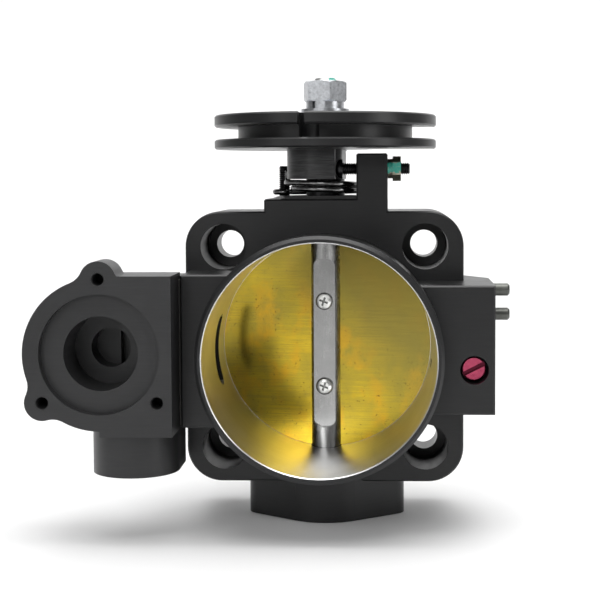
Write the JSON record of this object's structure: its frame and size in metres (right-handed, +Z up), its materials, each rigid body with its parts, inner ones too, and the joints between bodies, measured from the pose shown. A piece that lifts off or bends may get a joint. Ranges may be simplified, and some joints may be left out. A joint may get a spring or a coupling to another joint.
{
  "type": "throttle body",
  "caption": "Cable-operated butterfly throttle body with a brass plate, cable wheel, return spring, stop screw and a bolt-on idle-air valve housing.",
  "frame": {"origin": "centre of the square manifold bolt pattern, on the manifold face, which is also on the bore axis", "axes": "+Y along the bore from the air inlet to the manifold, +X to the right seen from the inlet, +Z up along the throttle shaft towards the cable wheel"},
  "size_m": [0.1512, 0.0848, 0.1458],
  "materials": {
    "anodised_body": "satin black anodised, machined",
    "anodised_housing": "satin black anodised, machined",
    "anodised_wheel": "black anodised, turned",
    "gasket_paper": "dark fibre gasket",
    "black_oxide_steel": "black oxide",
    "bare_steel": "ground and milled steel",
    "brass_plate": "rolled brass with a light patina",
    "screw_steel": "bright steel",
    "bearing_steel": "ground bearing steel",
    "seal_rubber": "matt black rubber",
    "spring_steel": "dark oiled spring steel",
    "zinc_plate": "bright zinc plated steel",
    "yellow_zinc": "dull yellow zinc with a paint mark",
    "pink_anodised": "magenta anodised",
    "dull_grey_metal": "dull grey plated tube",
    "plug_metal": "plain aluminium"
  },
  "bodies": {
    "root": {"main_body": "anodised_body", "idle_housing": "anodised_housing", "idle_housing_gasket": "gasket_paper", "idle_housing_screws": "black_oxide_steel", "upper_bearing_outer_race": "bearing_steel", "lower_bearing_outer_race": "bearing_steel", "upper_shaft_seal": "seal_rubber", "lower_shaft_seal": "seal_rubber", "return_spring": "spring_steel", "spring_anchor_stud": "black_oxide_steel", "stop_lock_nut": "yellow_zinc", "upper_vacuum_nipple": "dull_grey_metal", "lower_vacuum_nipple": "dull_grey_metal", "passage_plug": "plug_metal"},
    "throttle": {"throttle_shaft": "bare_steel", "throttle_plate": "brass_plate", "plate_screws": "screw_steel", "upper_bearing_inner_race": "bearing_steel", "upper_bearing_balls": "bearing_steel", "lower_bearing_inner_race": "bearing_steel", "lower_bearing_balls": "bearing_steel", "shaft_retaining_ring": "spring_steel", "spring_sleeve": "bare_steel", "cable_wheel": "anodised_wheel", "wheel_washer": "zinc_plate", "split_washer": "zinc_plate", "shaft_nut": "zinc_plate"},
    "stop_screw": {"stop_screw": "black_oxide_steel"},
    "idle_seal": {"idle_screw_oring": "seal_rubber"},
    "idle_screw": {"idle_screw": "pink_anodised"}
  },
  "joints": [
    {"name": "throttle_turn", "type": "hinge", "parent": "root", "child": "throttle", "pos_m": [0, -0.02, 0], "axis": [0, 0, -1], "range_deg": [0, 83], "stiffness_Nm_per_rad": 0.25, "springref_deg": -68.75, "deforming": ["return_spring"]},
    {"name": "stop_screw_travel", "type": "slide", "parent": "root", "child": "stop_screw", "axis": [1, 0, 0], "range_m": [0, 0.0025]},
    {"name": "idle_screw_travel", "type": "slide", "parent": "root", "child": "idle_seal", "axis": [0, -1, 0], "range_m": [0, 0.003]},
    {"name": "idle_screw_turn", "type": "hinge", "parent": "idle_seal", "child": "idle_screw", "pos_m": [0.0478, -0.048, -0.0047], "axis": [0, -1, 0], "range_deg": [0, 1440]}
  ],
  "couplings": [
    {"joint": "idle_screw_turn", "follows": "idle_screw_travel", "rad_per_m": 8377}
  ]
}
